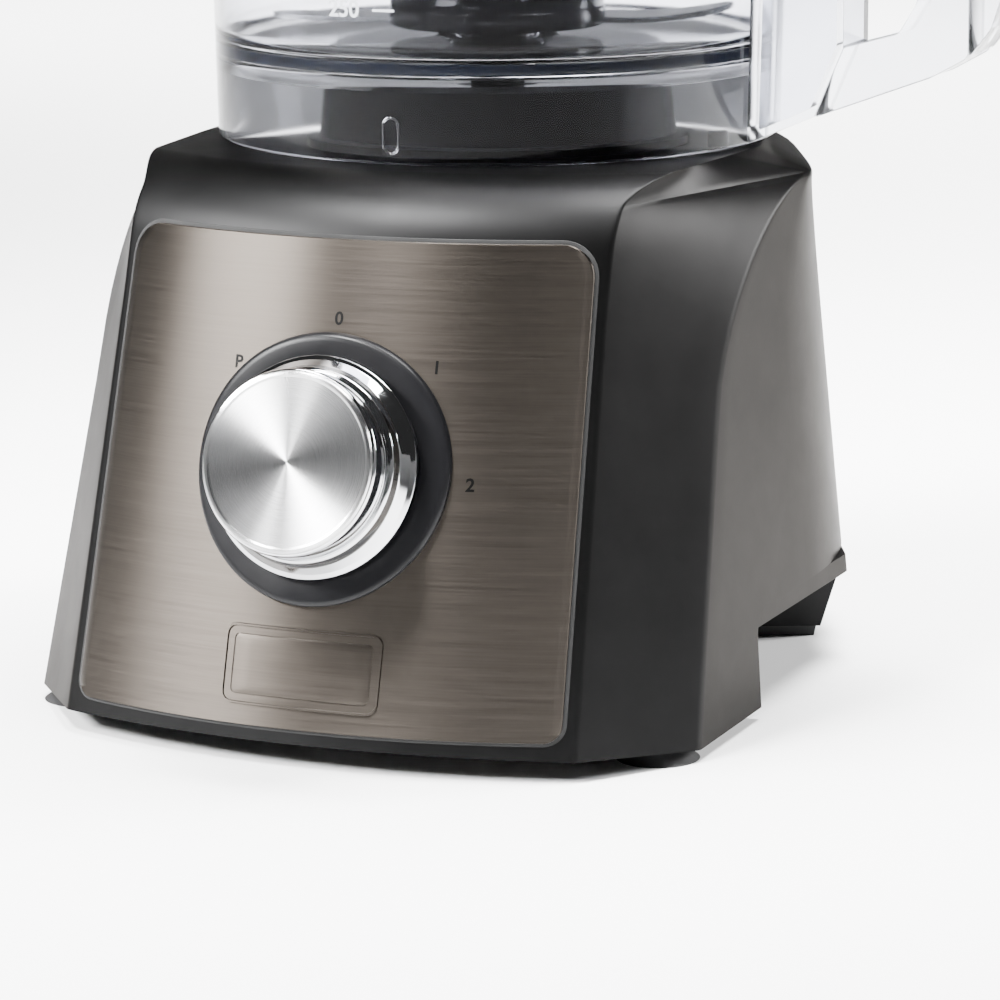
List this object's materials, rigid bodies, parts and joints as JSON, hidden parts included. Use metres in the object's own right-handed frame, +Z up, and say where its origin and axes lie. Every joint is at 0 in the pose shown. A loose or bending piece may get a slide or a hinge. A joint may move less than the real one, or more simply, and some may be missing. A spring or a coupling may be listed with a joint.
{
  "type": "food processor",
  "caption": "Food processor with a sloping brushed panel, a rotary speed knob, a clear bowl with handle and blades, a lid with feed chute and pushers.",
  "frame": {"origin": "centre of the whole part's box on the surface that it stands on; the drive axis is at x = -25.75 mm, y = 27.8 mm", "axes": "+Z up along the drive axis, -Y towards the front panel and knob, +X towards the bowl's handle"},
  "size_m": [0.2612, 0.257, 0.402],
  "materials": {
    "housing": "satin charcoal",
    "panel": "brushed gunmetal",
    "dark_trim": "satin black",
    "polished_chrome": "polished",
    "spun_aluminium": "spun",
    "clear_plastic": "clear",
    "black_plastic": "gloss black",
    "grey_plastic": "moulded",
    "blade_steel": "ground",
    "rubber": "moulded",
    "bearing": "ground",
    "motor_bracket": "pressed",
    "lamination": "stamped",
    "copper": "enamelled",
    "brass_part": "pressed",
    "carbon": "pressed",
    "screw": "zinc plated",
    "board": "coated",
    "component": "moulded"
  },
  "bodies": {
    "base": {"main_housing": "housing", "bottom_cover": "housing", "front_panel": "panel", "knob_bezel": "dark_trim", "bowl_seat": "dark_trim", "shaft_seal": "rubber", "upper_bearing": "bearing", "lower_bearing": "bearing", "upper_bracket": "motor_bracket", "lower_bracket": "motor_bracket", "stator_core": "lamination", "field_coils": "copper", "motor_screws": "screw", "motor_mounts": "rubber", "brush_holders": "brass_part", "carbon_brushes": "carbon", "brush_posts": "black_plastic", "rotary_switch": "black_plastic", "circuit_board": "board", "board_pillars": "black_plastic", "board_components": "component", "heat_sink": "motor_bracket", "interlock_guide": "black_plastic", "interlock_switch": "black_plastic", "front_feet": "rubber", "rear_legs": "housing", "rear_feet": "rubber", "housing_screws": "screw", "cord_inlet": "rubber"},
    "knob": {"knob_body": "polished_chrome", "knob_cap": "spun_aluminium", "knob_shaft": "screw"},
    "rotor": {"motor_shaft": "bearing", "drive_spindle": "black_plastic", "armature_core": "lamination", "commutator": "copper", "armature_winding": "copper", "cooling_fan": "grey_plastic"},
    "plunger": {"interlock_plunger": "grey_plastic", "interlock_spring": "screw"},
    "bowl": {"bowl": "clear_plastic", "handle_channel": "clear_plastic", "bowl_handle": "clear_plastic", "handle_cover": "clear_plastic"},
    "blades": {"blade_hub": "black_plastic", "lower_blade": "blade_steel", "upper_blade": "blade_steel"},
    "lid": {"lid": "clear_plastic", "feed_chute": "clear_plastic", "lid_gasket": "rubber", "lid_bush": "black_plastic", "lid_lug": "clear_plastic"},
    "pusher": {"food_pusher": "black_plastic"},
    "cup": {"small_pusher": "clear_plastic"}
  },
  "joints": [
    {"name": "knob_turn", "type": "hinge", "parent": "base", "child": "knob", "pos_m": [-0.02575, -0.1024, 0.0792], "axis": [0, 0.9613, -0.2756], "range_deg": [-45, 90]},
    {"name": "rotor_spin", "type": "hinge", "parent": "base", "child": "rotor", "pos_m": [-0.02575, 0.0278, 0.1], "axis": [0, 0, 1], "continuous": true},
    {"name": "plunger_press", "type": "slide", "parent": "base", "child": "plunger", "axis": [0, 0, -1], "range_m": [0, 0.003], "stiffness_N_per_m": 400, "deforming": ["interlock_spring"]},
    {"name": "bowl_lift", "type": "slide", "parent": "base", "child": "bowl", "axis": [0, 0, 1], "range_m": [0, 0.12]},
    {"name": "blade_spin", "type": "hinge", "parent": "bowl", "child": "blades", "pos_m": [-0.02575, 0.0278, 0.2], "axis": [0, 0, 1], "continuous": true},
    {"name": "lid_lift", "type": "slide", "parent": "bowl", "child": "lid", "axis": [0, 0, 1], "range_m": [0, 0.09]},
    {"name": "pusher_lift", "type": "slide", "parent": "lid", "child": "pusher", "axis": [0, 0, 1], "range_m": [0, 0.1]},
    {"name": "cup_lift", "type": "slide", "parent": "pusher", "child": "cup", "axis": [0, 0, 1], "range_m": [0, 0.1]}
  ],
  "couplings": [
    {"joint": "blade_spin", "follows": "rotor_spin", "ratio": 1}
  ]
}
